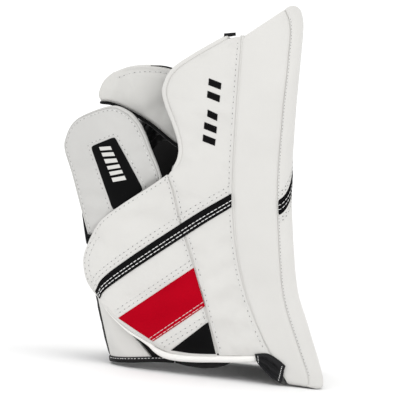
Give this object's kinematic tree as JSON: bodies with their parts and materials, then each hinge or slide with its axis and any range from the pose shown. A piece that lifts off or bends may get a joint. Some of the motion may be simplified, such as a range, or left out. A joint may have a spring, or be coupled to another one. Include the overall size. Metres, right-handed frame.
{
  "type": "goalie blocker glove",
  "caption": "Padded ice hockey goalie blocker: curved striking board on the back of a glove, with cuff, finger shield, thumb guard and wrist strap.",
  "frame": {"origin": "on the ground under the middle of the object, which stands on the board's lower end and the cuff's lower corner", "axes": "+X is the way the striking board faces, -Y is the thumb side, +Z runs from the wrist opening to the fingertips"},
  "size_m": [0.2789, 0.1996, 0.3641],
  "materials": {
    "leather_white": "satin",
    "leather_grey_white": "satin",
    "leather_red": "satin",
    "leather_black": "satin",
    "nylon_black": "matte",
    "palm_black": "matte",
    "elastic_black": "matte",
    "foam_grey": "matte",
    "sheet_plastic": "satin"
  },
  "bodies": {
    "board_and_cuff": {"board_face_cover": "leather_white", "board_side_gusset": "leather_white", "board_back_cover": "nylon_black", "board_stiffener_sheet": "sheet_plastic", "board_foam_core": "foam_grey", "board_face_stripe": "leather_black", "board_tie_strap": "elastic_black", "side_wall_panel": "leather_white", "side_wall_foam": "foam_grey", "side_wall_lining": "nylon_black", "side_wall_rim_roll": "leather_white", "side_wall_top_binding": "nylon_black", "side_stripe_band": "leather_black", "red_panel": "leather_red", "dark_panel": "leather_black", "cuff_wrap_panel": "leather_white", "cuff_wrap_lining": "nylon_black", "cuff_near_lining": "nylon_black", "cuff_bottom_piping": "leather_white", "palm_wing_panel": "leather_grey_white", "palm_cuff_panel": "nylon_black", "palm_wing_lining": "nylon_black", "palm_wing_binding": "nylon_black", "far_cuff_panel": "leather_white", "far_cuff_lining": "nylon_black", "far_wall_panel": "leather_white", "far_wall_foam": "foam_grey", "far_wall_lining": "nylon_black", "glove_hand_sleeve": "palm_black", "palm_grip_patch": "palm_black", "hand_back_pad": "foam_grey", "finger_back_pad": "leather_white"},
    "thumb_guard": {"thumb_guard_panel": "leather_white", "thumb_guard_foam": "foam_grey", "thumb_guard_insert": "sheet_plastic", "thumb_guard_lining": "nylon_black", "thumb_guard_patch": "leather_black", "thumb_stall": "palm_black"},
    "index_finger": {"index_finger_stall": "palm_black", "index_guard_panel": "leather_white", "index_guard_foam": "foam_grey", "index_guard_lining": "nylon_black"},
    "middle_finger": {"middle_finger_stall": "palm_black"},
    "ring_finger": {"ring_finger_stall": "palm_black"},
    "little_finger": {"little_finger_stall": "palm_black"},
    "wrist_strap": {"wrist_strap": "elastic_black", "wrist_strap_hook_patch": "nylon_black"}
  },
  "joints": [
    {"name": "thumb_open", "type": "hinge", "parent": "board_and_cuff", "child": "thumb_guard", "pos_m": [-0.048, -0.06, 0.15], "axis": [0, -1, 0], "range_deg": [0, 20]},
    {"name": "index_extend", "type": "hinge", "parent": "board_and_cuff", "child": "index_finger", "pos_m": [-0.012, -0.036, 0.208], "axis": [0, 1, 0], "range_deg": [0, 12]},
    {"name": "middle_extend", "type": "hinge", "parent": "board_and_cuff", "child": "middle_finger", "pos_m": [-0.012, -0.012, 0.203], "axis": [0, 1, 0], "range_deg": [-10, 15]},
    {"name": "ring_extend", "type": "hinge", "parent": "board_and_cuff", "child": "ring_finger", "pos_m": [-0.012, 0.012, 0.197], "axis": [0, 1, 0], "range_deg": [-10, 15]},
    {"name": "little_extend", "type": "hinge", "parent": "board_and_cuff", "child": "little_finger", "pos_m": [-0.012, 0.036, 0.19], "axis": [0, 1, 0], "range_deg": [-10, 15]},
    {"name": "strap_peel", "type": "hinge", "parent": "board_and_cuff", "child": "wrist_strap", "pos_m": [-0.1155, -0.026, 0.13], "axis": [0, 0, 1], "range_deg": [0, 80]}
  ]
}
